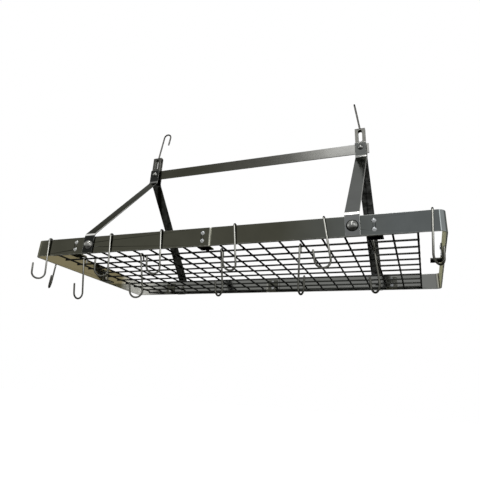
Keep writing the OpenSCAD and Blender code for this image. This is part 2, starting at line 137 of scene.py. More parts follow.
def bolt_line(name: str) -> tuple[float, float]:
    """Finds the axes of a node's bolts, which stand alike left and right with their heads outermost.

    Args:
        name: the node.

    Returns:
        The axes' distance from the middle of the rack's length, and their height.
    """
    low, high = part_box(name)
    return (high.x - low.x) / 2.0 - (high.z - low.z) / 2.0, (low.z + high.z) / 2.0


class Wiring:
    """Adds nodes to one node tree and links them by the names of their sockets."""

    def __init__(self, tree: bpy.types.NodeTree) -> None:
        """Starts on an empty tree.

        Args:
            tree: the tree that the nodes go into.
        """
        self.tree = tree
        self.tree.nodes.clear()
        self.count = 0

    def put(
        self, kind: str, inputs: Optional[dict[Union[str, int], Value]] = None, **settings: Value
    ) -> bpy.types.Node:
        """Adds one node.

        Args:
            kind: the node's type name.
            inputs: values or sockets for its inputs, by name or place.
            settings: the node's own properties.

        Returns:
            The new node.
        """
        node = self.tree.nodes.new(kind)
        node.location = (190.0 * (self.count % 9), -260.0 * (self.count // 9))
        self.count += 1
        for name, setting in settings.items():
            setattr(node, name, setting)
        for name, given in (inputs or {}).items():
            if isinstance(given, bpy.types.NodeSocket):
                self.tree.links.new(given, node.inputs[name])
            else:
                node.inputs[name].default_value = given
        return node

    def math(self, operation: str, *terms: Value) -> bpy.types.NodeSocket:
        """Adds a Math node.

        Args:
            operation: the node's operation.
            terms: its values or sockets, in order.

        Returns:
            Its output.
        """
        return self.put("ShaderNodeMath", dict(enumerate(terms)), operation=operation).outputs[0]

    def product(self, *terms: Value) -> bpy.types.NodeSocket:
        """Multiplies values by Math nodes.

        Args:
            terms: two or more values or sockets, in order.

        Returns:
            Their product.
        """
        result = terms[0]
        for term in terms[1:]:
            result = self.math("MULTIPLY", result, term)
        return result

    def mix(self, factor: Value, first: Value, second: Value) -> bpy.types.NodeSocket:
        """Adds a colour Mix node.

        Args:
            factor: how much of the second colour shows.
            first: the colour at 0.
            second: the colour at 1.

        Returns:
            The mixed colour.
        """
        return self.put("ShaderNodeMix", {0: factor, 6: first, 7: second}, data_type="RGBA").outputs[2]

    def ramp(
        self, given: Value, low: Value, high: Value, to_low: Value = 0.0, to_high: Value = 1.0
    ) -> bpy.types.NodeSocket:
        """Adds a Map Range node from low..high to to_low..to_high, clamped.

        Args:
            given: the value to map.
            low: the input that gives to_low.
            high: the input that gives to_high.
            to_low: the output at low.
            to_high: the output at high.

        Returns:
            The mapped value.
        """
        inputs = {"Value": given, "From Min": low, "From Max": high, "To Min": to_low, "To Max": to_high}
        return self.put("ShaderNodeMapRange", inputs, clamp=True).outputs[0]

    def place(self) -> bpy.types.NodeSocket:
        """The shaded point's place in the model's frame."""
        return self.put("ShaderNodeTexCoord").outputs["Object"]

    def facing(self) -> bpy.types.NodeSocket:
        """The way that the shaded point faces, in the model's frame."""
        return self.put("ShaderNodeTexCoord").outputs["Normal"]

    def parts(self, given: bpy.types.NodeSocket) -> bpy.types.bpy_prop_collection:
        """Splits a vector into its X, Y and Z."""
        return self.put("ShaderNodeSeparateXYZ", {0: given}).outputs

    def vector(self, operation: str, first: Value, second: Value) -> bpy.types.bpy_prop_collection:
        """Adds a Vector Math node on two vectors and returns its outputs."""
        return self.put("ShaderNodeVectorMath", {0: first, 1: second}, operation=operation).outputs

    def noise(self, place: Value, **values: float) -> bpy.types.NodeSocket:
        """Adds a Noise texture.

        Args:
            place: where it is read.
            values: its scale, detail and roughness, by the sockets' names.

        Returns:
            Its value.
        """
        return self.put("ShaderNodeTexNoise", {"Vector": place, **values}).outputs["Fac"]

    def seen(self) -> bpy.types.NodeSocket:
        """Tells what the eye, metal and glass see from what only lights.

        Returns:
            1 for the first and 0 for the second.
        """
        path = self.put("ShaderNodeLightPath").outputs
        either = self.math("MAXIMUM", path["Is Camera Ray"], path["Is Glossy Ray"])
        return self.math("MAXIMUM", either, path["Is Transmission Ray"])


FLOAT = "NodeSocketFloat"
COLOUR = "NodeSocketColor"
VECTOR = "NodeSocketVector"
DARK = (0.1, 0.1, 0.1, 1.0)


@dataclass
class ShaderGroups:
    """The node groups that the steels share. A pair of numbers is where a mask starts and where it is full.

    Attributes:
        built: the groups by name.
        middle_noise: the band of a noise's values that a mask spreads over.
        sharp_edge: the match of the rounded normal with the true one.
        top_side: the upward facing that dust settles on.
        under_side: the downward facing that the painted underside shade covers.
        inward: how far a side of the band faces the middle of the rack, in metres.
        corner_along: the reach along the rack of the painted light patch in the rear left corner, in metres.
        corner_across: its reach towards the rear.
        bend_start: the upward facing at which the painted highlight on a strap's bends starts.
        bend_end: the upward facing at which it ends.
        head_height: the height above which a strap's upright end is its head.
        head_end: the upward facing at which the head ends.
        end_facing: the facing along the rack of a bar's sheared end.
    """

    built: dict[str, bpy.types.NodeTree] = field(default_factory=dict)
    middle_noise: tuple[float, float] = (0.3, 0.7)
    sharp_edge: tuple[float, float] = (0.995, 0.9)
    top_side: tuple[float, float] = (0.6, 0.98)
    under_side: tuple[float, float] = (-0.08, -0.5)
    inward: tuple[float, float] = (-0.12, -0.18)
    corner_along: tuple[float, float] = (-0.36, -0.42)
    corner_across: tuple[float, float] = (0.12, 0.17)
    bend_start: tuple[float, float] = (0.06, 0.16)
    bend_end: tuple[float, float] = (0.6, 0.5)
    head_height: tuple[float, float] = (-0.3, -0.25)
    head_end: tuple[float, float] = (0.6, 0.4)
    end_facing: tuple[float, float] = (0.55, 0.8)

    def start(self, name: str, inputs: dict[str, tuple[str, Value]], outputs: dict[str, str]) -> Wiring:
        """Makes an empty group with its named sockets.

        Args:
            name: the group's name.
            inputs: for each input its socket type and default.
            outputs: for each output its socket type.

        Returns:
            The wiring of the new group.
        """
        tree = bpy.data.node_groups.new(name, "ShaderNodeTree")
        for label, (kind, default) in inputs.items():
            socket = tree.interface.new_socket(label, in_out="INPUT", socket_type=kind)
            socket.default_value = default
        for label, kind in outputs.items():
            tree.interface.new_socket(label, in_out="OUTPUT", socket_type=kind)
        self.built[name] = tree
        return Wiring(tree)

    def grain(self) -> None:
        """Rolling grain: streaks along a strip, for roughness and for a faint bump."""
        wiring = self.start(
            "rolling_grain", {"Cells": (VECTOR, (9.0, 9.0, 900.0))}, {"Streaks": FLOAT, "Height": FLOAT}
        )
        given = wiring.put("NodeGroupInput").outputs
        place = wiring.place()
        scaled = wiring.vector("MULTIPLY", place, given["Cells"])[0]
        noise = wiring.noise(scaled, Scale=1.0, Detail=3.0, Roughness=0.6)
        waves = wiring.noise(place, Scale=16.0, Detail=1.0)
        height = wiring.math("MULTIPLY_ADD", waves, 4.0, wiring.math("SUBTRACT", noise, 0.5))
        streaks = wiring.ramp(noise, *self.middle_noise)
        wiring.put("NodeGroupOutput", {"Streaks": streaks, "Height": height})

    def tone(self) -> None:
        """A painted light gradient from Near to Far along Axis, random changes of tone in the lacquer, and
        the smudges that hands leave.
        """
        wiring = self.start(
            "lacquer_tone_and_painted_light",
            {
                "Near": (COLOUR, DARK),
                "Far": (COLOUR, DARK),
                "Axis": (VECTOR, (1.0, 0.0, 0.0)),
                "Start": (FLOAT, 0.0),
                "End": (FLOAT, 1.0),
                "Mottle": (FLOAT, 0.2),
            },
            {"Colour": COLOUR, "Smudge": FLOAT},
        )
        given = wiring.put("NodeGroupInput").outputs
        place = wiring.place()
        along = wiring.vector("DOT_PRODUCT", place, given["Axis"])["Value"]
        # Painted light: the colour runs from Near to Far along Axis.
        colour = wiring.mix(wiring.ramp(along, given["Start"], given["End"]), given["Near"], given["Far"])
        cloud = wiring.noise(place, Scale=23.0, Detail=4.0, Roughness=0.55)
        spread = wiring.ramp(cloud, *self.middle_noise, -1.0, 1.0)
        gain = wiring.math("MULTIPLY_ADD", spread, given["Mottle"], 1.0)
        lit = wiring.put("ShaderNodeVectorMath", {0: colour, "Scale": gain}, operation="SCALE").outputs[0]
        smudge = wiring.ramp(wiring.noise(place, Scale=61.0, Detail=2.0), 0.52, 0.72)
        wiring.put("NodeGroupOutput", {"Colour": lit, "Smudge": smudge})

    def wear_and_highlight(self) -> None:
        """Edges rubbed bare, which also serve as painted edge highlights: where the rounded normal leaves the
        true one, broken up by noise.
        """
        inputs = {"Radius": (FLOAT, 0.8 * MM), "Amount": (FLOAT, 0.5)}
        wiring = self.start("edge_wear_and_highlight", inputs, {"Mask": FLOAT})
        given = wiring.put("NodeGroupInput").outputs
        rounded = wiring.put("ShaderNodeBevel", {"Radius": given["Radius"]}, samples=4).outputs[0]
        true = wiring.put("ShaderNodeNewGeometry").outputs["True Normal"]
        edge = wiring.ramp(wiring.vector("DOT_PRODUCT", rounded, true)["Value"], *self.sharp_edge)
        patches = wiring.ramp(wiring.noise(wiring.place(), Scale=140.0, Detail=3.0), 0.42, 0.6, 0.25)
        wiring.put("NodeGroupOutput", {"Mask": wiring.product(edge, patches, given["Amount"])})

    def dust(self) -> None:
        """Kitchen dust: a thin dull film on what faces up."""
        wiring = self.start("kitchen_dust", {"Amount": (FLOAT, 0.3)}, {"Mask": FLOAT})
        given = wiring.put("NodeGroupInput").outputs
        up = wiring.ramp(wiring.parts(wiring.facing())["Z"], *self.top_side)
        grains = wiring.ramp(wiring.noise(wiring.place(), Scale=320.0, Detail=4.0), 0.4, 0.65, 0.2)
        wiring.put("NodeGroupOutput", {"Mask": wiring.product(up, grains, given["Amount"])})

    def under_shade(self) -> None:
        """Painted shade: a dark colour, broken up by noise, on what faces down."""
        wiring = self.start("painted_underside_shade", {"Amount": (FLOAT, 0.6)}, {"Mask": FLOAT})
        given = wiring.put("NodeGroupInput").outputs
        down = wiring.ramp(wiring.parts(wiring.facing())["Z"], *self.under_side)
        breakup = wiring.ramp(wiring.noise(wiring.place(), Scale=90.0, Detail=3.0), 0.3, 0.6, 0.8)
        wiring.put("NodeGroupOutput", {"Mask": wiring.product(down, breakup, given["Amount"])})

    def inside(self) -> None:
        """The sides that face the middle of the rack, whose painted colour is lighter than the outer faces.

        Ends is 1 on the band's ends. Light_patch is the painted light patch on the right end and in the rear
        left corner, and Right is 1 on the right end alone.
        """
        labels = ("Mask", "Ends", "Light_patch", "Right")
        wiring = self.start("inner_side", {"Amount": (FLOAT, 1.0)}, {label: FLOAT for label in labels})
        given = wiring.put("NodeGroupInput").outputs
        facing = wiring.facing()
        parts = wiring.parts(facing)
        place = wiring.place()
        spot = wiring.parts(place)
        side = wiring.ramp(wiring.vector("DOT_PRODUCT", facing, place)["Value"], *self.inward)
        upright = wiring.ramp(wiring.math("ABSOLUTE", parts["Z"]), 0.2, 0.5, 1.0, 0.0)
        whole = wiring.product(side, upright)
        ends = wiring.ramp(wiring.math("ABSOLUTE", parts["X"]), 0.2, 0.9)
        flat_end = wiring.ramp(parts["X"], -0.9, -0.98)
        right = wiring.product(flat_end, wiring.math("GREATER_THAN", spot["X"], 0.0))
        along = wiring.ramp(spot["X"], *self.corner_along)
        corner = wiring.product(along, wiring.ramp(spot["Y"], *self.corner_across))
        light_patch = wiring.product(wiring.math("ADD", right, corner), whole)
        mask = wiring.product(whole, given["Amount"])
        wiring.put("NodeGroupOutput", {"Mask": mask, "Ends": ends, "Light_patch": light_patch, "Right": right})

    def bends(self) -> None:
        """A painted highlight on the outer sides of a strap's bends, and painted shade on its head.

        Top is how much of the painted highlight the upper one keeps. Head is 1 on the part that the apex bolt
        clamps, which is painted in shade.
        """
        wiring = self.start("painted_bend_highlight", {"Top": (FLOAT, 0.2)}, {"Mask": FLOAT, "Head": FLOAT})
        given = wiring.put("NodeGroupInput").outputs
        rise = wiring.parts(wiring.facing())["Z"]
        high = wiring.ramp(wiring.parts(wiring.place())["Z"], *self.head_height)
        share = wiring.ramp(high, 0.0, 1.0, 1.0, given["Top"])
        bent = wiring.product(wiring.ramp(rise, *self.bend_start), wiring.ramp(rise, *self.bend_end), share)
        head = wiring.product(wiring.ramp(rise, *self.head_end), high)
        wiring.put("NodeGroupOutput", {"Mask": bent, "Head": head})

    def sheared(self) -> None:
        """The bare sheared ends and edges that face along the rack, up to Reach from its middle."""
        wiring = self.start("sheared_ends", {"Reach": (FLOAT, 0.02), "Amount": (FLOAT, 1.0)}, {"Mask": FLOAT})
        given = wiring.put("NodeGroupInput").outputs
        facing = wiring.math("ABSOLUTE", wiring.parts(wiring.facing())["X"])
        away = wiring.math("ABSOLUTE", wiring.parts(wiring.place())["X"])
        end = wiring.ramp(facing, *self.end_facing)
        near = wiring.math("LESS_THAN", away, given["Reach"])
        wiring.put("NodeGroupOutput", {"Mask": wiring.product(end, near, given["Amount"])})

    def lap(self) -> None:
        """A painted highlight: a bright strip beside the end of each overlapping bar, on the band's outer
        face.

        Place is how far the strip's far side lies from the rack's middle, and Width is its width.
        """
        wiring = self.start(
            "painted_lap_highlight", {"Place": (FLOAT, 12.1 * MM), "Width": (FLOAT, 3.6 * MM)}, {"Mask": FLOAT}
        )
        given = wiring.put("NodeGroupInput").outputs
        place = wiring.parts(wiring.place())
        side = wiring.math("SIGN", place["Y"])
        along = wiring.product(place["X"], wiring.math("MULTIPLY", side, -1.0))
        half = wiring.math("MULTIPLY", given["Width"], 0.5)
        middle = wiring.math("SUBTRACT", given["Place"], half)
        off = wiring.math("ABSOLUTE", wiring.math("SUBTRACT", along, middle))
        strip = wiring.math("LESS_THAN", off, half)
        outward = wiring.product(wiring.parts(wiring.facing())["Y"], side)
        outer = wiring.math("GREATER_THAN", outward, 0.5)
        wiring.put("NodeGroupOutput", {"Mask": wiring.product(strip, outer)})

    def build(self) -> "ShaderGroups":
        """Builds all the groups.

        Returns:
            These groups.
        """
        surface = (self.grain, self.tone, self.wear_and_highlight, self.dust, self.under_shade)
        spots = (self.inside, self.bends, self.sheared, self.lap)
        for make in surface + spots:
            make()
        return self


@dataclass(frozen=True)
class Steel:
    """One lacquered steel finish.

    Attributes:
        name: the material's name.
        near: its colour at the start of its painted light gradient, as seen on a screen.
        far: its colour at the end of that painted gradient.
        rim: the tint of its reflections at a glancing angle.
        roughness: the smoothest roughness.
        run: the way its grain runs.
        depth: the strength of the grain's bump.
        mottle: how far the tone wanders.
        axis: the direction of the painted light gradient.
        start: where the painted gradient starts along the axis.
        end: where it ends.
        wear_and_highlight: how bright its edges are, partly rubbed bare and partly painted highlight, from 0
            to 1.
        wear_highlight_reach: how far those bright edges reach from an edge, in metres.
        under_shade: how dark the painted shade on its undersides is, from 0 to 1.
        flank_shade: the painted shade on a round piece's flanks that turn away from the eye, or None on flat
            bar.
        flank_shade_from: how far turned away from the eye that painted shade starts, from 0 to 1.
        flank_shade_to: how far turned it is full.
        inner: the painted colours of the band's inner side, lighter than the outer face, along the rear and
            on the ends, or None.
        inner_cover: how strongly they cover the lacquer, from 0 to 1.
        light_patch: the colours of the painted light patch on that side, at the rear left corner and on the
            right end.
        bend_highlight: the painted highlight colour on a strap's bends, or None elsewhere.
        head: the painted shade colour of a strap's clamped head, or None where it is like the rest.
        sheared: how far from the rack's middle the sheared ends and edges are bare, in metres.
        bared: how bare they are, from 0 to 1.
        lap_highlight: the colour of the painted highlight beside each lap's end, or None elsewhere.
    """

    name: str
    near: Rgb
    far: Rgb
    rim: float
    roughness: float
    run: Run
    depth: float = 0.02
    mottle: float = 0.08
    axis: tuple[float, float, float] = (1.0, 0.0, 0.0)
    start: float = -0.46
    end: float = 0.46
    wear_and_highlight: float = 0.5
    wear_highlight_reach: float = 0.8 * MM
    under_shade: float = 0.6
    flank_shade: Optional[Rgb] = None
    flank_shade_from: float = 0.04
    flank_shade_to: float = 0.32
    inner: Optional[tuple[Rgb, Rgb]] = None
    inner_cover: float = 0.9
    light_patch: tuple[Rgb, Rgb] = ((190, 190, 184), (160, 159, 130))
    bend_highlight: Optional[Rgb] = None
    head: Optional[Rgb] = None
    sheared: float = 0.0
    bared: float = 1.0
    lap_highlight: Optional[Rgb] = None

    def group(
        self, wiring: Wiring, groups: ShaderGroups, name: str, **values: Value
    ) -> bpy.types.bpy_prop_collection:
        """Places one of the shared groups in the material.

        Args:
            wiring: the material's wiring.
            groups: the shared node groups.
            name: the group's name.
            values: the values of its inputs.

        Returns:
            The group's outputs.
        """
        node = wiring.put("ShaderNodeGroup", node_tree=groups.built[name])
        for label, value in values.items():
            node.inputs[label].default_value = value
        return node.outputs

    def tint(self, wiring: Wiring, groups: ShaderGroups, tone: bpy.types.NodeSocket) -> bpy.types.NodeSocket:
        """Lays the inner sides' painted colour, a painted light patch, bare spots, painted highlights on
        bends and laps, painted shade on heads and flanks, bright edges and painted underside shade over the
        lacquer's tone.

        Args:
            wiring: the material's wiring.
            groups: the shared node groups.
            tone: the lacquer's colour.

        Returns:
            The finished colour.
        """
        colour = tone
        if self.inner is not None:
            # The inner sides are painted lighter than the outer faces.
            inside = self.group(wiring, groups, "inner_side", Amount=self.inner_cover)
            inner_paint = wiring.mix(inside["Ends"], linear(self.inner[0]), linear(self.inner[1]))
            colour = wiring.mix(inside["Mask"], colour, inner_paint)
            # Painted light patch on the right end and in the rear left corner.
            light_patch_colour = wiring.mix(inside["Right"], linear(self.light_patch[0]), linear(self.light_patch[1]))
            colour = wiring.mix(inside["Light_patch"], colour, light_patch_colour)
        if self.sheared > 0.0:
            ends = self.group(wiring, groups, "sheared_ends", Reach=self.sheared, Amount=self.bared)
            colour = wiring.mix(ends["Mask"], colour, linear(BARE_STEEL))
        if self.lap_highlight is not None:
            # Painted highlight beside each lap's end.
            strip = self.group(wiring, groups, "painted_lap_highlight")
            colour = wiring.mix(strip["Mask"], colour, linear(self.lap_highlight))
        if self.bend_highlight is not None:
            bent = self.group(wiring, groups, "painted_bend_highlight")
            if self.head is not None:
                # Painted shade on the strap's clamped head.
                colour = wiring.mix(bent["Head"], colour, linear(self.head))
            # Painted highlight on the strap's bends.
            colour = wiring.mix(bent["Mask"], colour, linear(self.bend_highlight))
        if self.flank_shade is not None:
            # Painted shade on the flanks that turn away from the eye.
            turned = wiring.put("ShaderNodeLayerWeight", {"Blend": 0.5}).outputs["Facing"]
            dark = wiring.ramp(turned, self.flank_shade_from, self.flank_shade_to)
            colour = wiring.mix(dark, colour, linear(self.flank_shade))
        # Bright edges: wear, and a painted edge highlight.
        edge_mark = self.group(wiring, groups, "edge_wear_and_highlight", Amount=self.wear_and_highlight, Radius=self.wear_highlight_reach)
        colour = wiring.mix(edge_mark["Mask"], colour, linear(BARE_STEEL))
        # Painted shade on the undersides.
        film = self.group(wiring, groups, "painted_underside_shade", Amount=self.under_shade)
        return wiring.mix(film["Mask"], colour, linear(UNDERSIDE_SHADE))

    def metal(self, wiring: Wiring, groups: ShaderGroups) -> dict[str, Value]:
        """Sets how metallic the steel is: wholly, but for the matt painted light patch on the band's inner
        side.

        Args:
            wiring: the material's wiring.
            groups: the shared node groups.

        Returns:
            The shader's inputs for that, by name.
        """
        if self.inner is None:
            return {"Metallic": 1.0}
        light_patch = self.group(wiring, groups, "inner_side")["Light_patch"]
        return {"Metallic": wiring.math("SUBTRACT", 1.0, light_patch), "Specular IOR Level": 0.0}

    def build(self, groups: ShaderGroups) -> bpy.types.Material:
        """Builds the material.

        Args:
            groups: the shared node groups.

        Returns:
            The new material.
        """
        material = bpy.data.materials.new(self.name)
        material.use_nodes = True
        wiring = Wiring(material.node_tree)
        grain = self.group(wiring, groups, "rolling_grain", Cells=self.run.value)
        tone = self.group(
            wiring, groups, "lacquer_tone_and_painted_light", Near=linear(self.near), Far=linear(self.far),
            Axis=self.axis, Start=self.start, End=self.end, Mottle=self.mottle,
        )
        dust = self.group(wiring, groups, "kitchen_dust")["Mask"]
        colour = self.tint(wiring, groups, tone["Colour"])
        colour = wiring.mix(wiring.math("MULTIPLY", dust, DUST_COVER), colour, linear(DUST))
        streaky = wiring.math("MULTIPLY_ADD", grain["Streaks"], STREAK_ROUGHNESS, self.roughness)
        smudged = wiring.math("MULTIPLY_ADD", tone["Smudge"], SMUDGE_ROUGHNESS, streaky)
        roughness = wiring.math("MULTIPLY_ADD", dust, DUST_ROUGHNESS, smudged)
        bump = wiring.put(
            "ShaderNodeBump", {"Height": grain["Height"], "Strength": self.depth, "Distance": 0.4 * MM}
        )
        steel = wiring.put(
            "ShaderNodeBsdfPrincipled",
            {
                "Base Color": colour,
                "Roughness": roughness,
                **self.metal(wiring, groups),
                "Normal": bump.outputs[0],
                "Specular Tint": (self.rim, self.rim, self.rim * RIM_BLUE, 1.0),
            },
        )
        wiring.put("ShaderNodeOutputMaterial", {"Surface": steel.outputs[0]})
        return material


BARE_STEEL = (190, 190, 184)
# Painted shade laid on what faces down.
UNDERSIDE_SHADE = (16, 16, 14)
DUST = (120, 116, 106)
DUST_COVER = 0.25
DUST_ROUGHNESS = 0.25
STREAK_ROUGHNESS = 0.04
SMUDGE_ROUGHNESS = 0.03
RIM_BLUE = 0.96
# The near and far colours of each finish paint light and shade along its axis: the band, straps and top bar
# darker at the left and lighter at the right, the brackets and bolts the reverse, the hooks darker on their
# low bows and lighter above.
BAND = Steel("band_steel", (67, 67, 58), (90, 94, 94), 0.4, 0.045, Run.LEVEL, start=0.16, end=0.38,
             inner=((114, 115, 112), (86, 82, 65)), wear_and_highlight=0.7, wear_highlight_reach=1.4 * MM, sheared=0.02,
             lap_highlight=(238, 238, 230))
TAB = Steel("tab_steel", (66, 66, 58), (72, 73, 68), 0.3, 0.1, Run.ROUND, under_shade=0.9)
# The straps' bend colour is a painted highlight and their head colour painted shade.
STRAP = Steel("strap_steel", (34, 35, 33), (101, 103, 103), 0.52, 0.1, Run.SLANTED, start=-0.28, end=0.28,
              bend_highlight=(214, 214, 210), head=(40, 41, 40), wear_and_highlight=0.7, wear_highlight_reach=1.2 * MM)
REAR_STRAP = Steel("rear_strap_steel", (56, 57, 53), (96, 98, 98), 0.3, 0.05, Run.SLANTED,
                   bend_highlight=(214, 214, 210), under_shade=0.96)
BAR = Steel("top_bar_steel", (60, 60, 52), (86, 86, 84), 0.4, 0.2, Run.LEVEL, start=-0.15, end=0.25,
            sheared=1.0, bared=0.4)
BRACKET = Steel("bracket_steel", (78, 78, 74), (50, 50, 48), 0.4, 0.13, Run.UPRIGHT, sheared=1.0, bared=0.25)
WIRE = Steel("grid_wire_steel", (38, 38, 36), (42, 43, 41), 0.2, 0.16, Run.ROUND, wear_and_highlight=0.0, under_shade=0.8)
FASTENER = Steel("bolt_steel", (132, 132, 128), (112, 113, 111), 0.6, 0.09, Run.ROUND, wear_and_highlight=0.2, under_shade=0.97,
                 flank_shade=(34, 34, 31), flank_shade_from=0.3, flank_shade_to=0.7)
RIVET = Steel("rivet_steel", (142, 143, 140), (136, 139, 141), 0.6, 0.12, Run.ROUND, wear_and_highlight=0.2, under_shade=0.4,
              flank_shade=(52, 53, 52), flank_shade_from=0.45, flank_shade_to=0.85)
HOOK = Steel("hook_wire_steel", (80, 80, 75), (184, 184, 177), 0.35, 0.12, Run.ROUND,
             axis=(0.0, 0.0, 1.0), start=-0.49, end=-0.435, wear_and_highlight=0.0, flank_shade=(46, 46, 42))
CEILING_HOOK = Steel("ceiling_hook_steel", (100, 100, 95), (118, 118, 113), 0.4, 0.12, Run.ROUND, wear_and_highlight=0.0,
                     under_shade=0.9, flank_shade=(28, 28, 25))
FINISHES = (BAND, TAB, STRAP, REAR_STRAP, BAR, BRACKET, WIRE, FASTENER, RIVET, HOOK, CEILING_HOOK)


@dataclass
class Workshop:
    """What the sub-assemblies are built with: the loaded nodes, the materials and the edge tools."""

    nodes: dict[str, bpy.types.Object]
    materials: dict[str, bpy.types.Material] = field(default_factory=dict)
    smooth: Optional[bpy.types.NodeTree] = None
    crease: float = math.radians(32.0)
    weld_gap: float = 0.002 * MM
    edge_steps: int = 2

    def prepare(self) -> None:
        """Builds the shared node groups, every finish and the normals tool."""
        groups = ShaderGroups().build()
        self.materials = {steel.name: steel.build(groups) for steel in FINISHES}
        self.smooth = self.normals_tool()

    def normals_tool(self) -> bpy.types.NodeTree:
        """Builds the geometry nodes that shade a strip smooth but for its creases.

        Returns:
            Their tree.
        """
        tree = bpy.data.node_groups.new("shade_by_angle", "GeometryNodeTree")
        tree.interface.new_socket("Geometry", in_out="INPUT", socket_type="NodeSocketGeometry")
        tree.interface.new_socket("Geometry", in_out="OUTPUT", socket_type="NodeSocketGeometry")
        wiring = Wiring(tree)
        given = wiring.put("NodeGroupInput").outputs[0]
        angle = wiring.put("GeometryNodeInputMeshEdgeAngle").outputs[0]
        sharp = wiring.put(
            "FunctionNodeCompare", {0: angle, 1: self.crease}, data_type="FLOAT", operation="GREATER_THAN"
        ).outputs[0]
        inputs = {"Mesh": given, "Remove Custom": True, "Edge Sharpness": sharp, "Face Sharpness": False}
        shaded = wiring.put("GeometryNodeSetMeshNormal", inputs, mode="SHARPNESS")
        wiring.put("NodeGroupOutput", {0: shaded.outputs[0]})
        return tree

    def dress(self, names: list[str], steel: Steel, edge: float = 0.0) -> None:
        """Gives nodes a finish and, where asked, softened edges.

        Args:
            names: the nodes.
            steel: their finish.
            edge: the width of the softened edge in metres, or 0 for none.
        """
        for name in names:
            node = self.nodes[name]
            material = self.materials[steel.name]
            if node.material_slots:
                for holder in node.material_slots:
                    holder.link = "OBJECT"
                    holder.material = material
            else:
                node.data.materials.append(material)
            if edge > 0.0:
                self.soften(node, edge)
        LOG.info("%s: %s", steel.name, ", ".join(names))

    def soften(self, node: bpy.types.Object, edge: float) -> None:
        """Joins a node's faces, rounds its sharp edges and shades it.

        Args:
            node: the object.
            edge: the width of the rounding in metres.
        """
        weld = node.modifiers.new("weld", "WELD")
        weld.merge_threshold = self.weld_gap
        bevel = node.modifiers.new("softened_edges", "BEVEL")
        bevel.width = edge
        bevel.segments = self.edge_steps
        bevel.limit_method = "ANGLE"
        bevel.angle_limit = self.crease
        bevel.use_clamp_overlap = True
        shade = node.modifiers.new("shading", "NODES")
        shade.node_group = self.smooth
        flat = node.modifiers.new("flat_faces", "WEIGHTED_NORMAL")
        flat.mode = "FACE_AREA"
        flat.weight = 100
        flat.keep_sharp = True

    def piece(
        self, name: str, mesh: bpy.types.Mesh, steel: Steel, slot: Slot, body: str = RACK
    ) -> bpy.types.Object:
        """Adds a new piece that rides on a body.

        Args:
            name: the piece's name.
            mesh: its mesh, in the model's frame.
            steel: its finish.
            slot: the record's slot of that finish; not used.
            body: the body that it rides on.

        Returns:
            The new object.
        """
        made = bpy.data.objects.new(name, mesh)
        bpy.context.scene.collection.objects.link(made)
        made.data.materials.append(self.materials[steel.name])
        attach(made, body)
        LOG.info("piece %s on %s with %d faces", name, body, len(mesh.polygons))
        return made


@dataclass
class Band:
    """The band's two halves, the grid tabs inside it and the rivets."""

    shop: Workshop
    edge: float = 1.0 * MM
    tab_edge: float = 0.35 * MM
    halves: tuple[str, ...] = ("frame_left_half", "frame_right_half")
    tabs: tuple[str, ...] = (
        "tab_front_left", "tab_front_middle", "tab_front_right", "tab_rear_left",
        "tab_rear_middle", "tab_rear_right", "tab_end_left", "tab_end_right",
    )
    rivets: tuple[str, ...] = ("tab_rivets", "lap_rivets")

    def build(self) -> None:
        """Dresses the halves, the tabs and the rivets."""
        self.shop.dress(list(self.halves), BAND, self.edge)
        self.shop.dress(list(self.tabs), TAB, self.tab_edge)
        self.shop.dress(list(self.rivets), RIVET)


@dataclass
class WireGrid:
    """The wire grid: long wires under cross wires, with a weld nugget at each crossing."""

    shop: Workshop
    wire_radius: float = 2.0 * MM
    long_count: int = 11
    cross_count: int = 20
    nugget_radius: float = 2.35 * MM
    nugget_height: float = 1.2 * MM
    nugget_spread: float = 0.08

    def build(self) -> None:
        """Dresses the wires and adds the nuggets."""
        self.shop.dress(["grid_long_wires", "grid_cross_wires"], WIRE)
        self.shop.piece("grid_weld_nuggets", self.nuggets(), WIRE, Slot.GRID)

    def places(self, low: float, high: float, count: int) -> list[float]:
        """The middles of evenly spaced wires between the outer faces of the first and the last."""
        first, last = low + self.wire_radius, high - self.wire_radius
        return [first + (last - first) * i / (count - 1) for i in range(count)]

    def nuggets(self) -> bpy.types.Mesh:
        """Makes the squashed beads where the wires are welded together.

        Returns:
            The mesh of all the beads.
        """
        long_low, long_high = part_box("grid_long_wires")
        cross_low, cross_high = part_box("grid_cross_wires")
        level = (long_high.z + cross_low.z) / 2.0
        shape = bmesh.new()
        for i, x in enumerate(self.places(cross_low.x, cross_high.x, self.cross_count)):
            for j, y in enumerate(self.places(long_low.y, long_high.y, self.long_count)):
                size = self.nugget_radius * (1.0 + self.nugget_spread * math.sin(2.1 * i + 3.7 * j))
                squash = Matrix.Diagonal((size, size, self.nugget_height, 1.0))
                bmesh.ops.create_icosphere(
                    shape, subdivisions=2, radius=1.0, matrix=Matrix.Translation((x, y, level)) @ squash
                )
        for face in shape.faces:
            face.smooth = True
        return mesh_of("grid_weld_nuggets", shape)


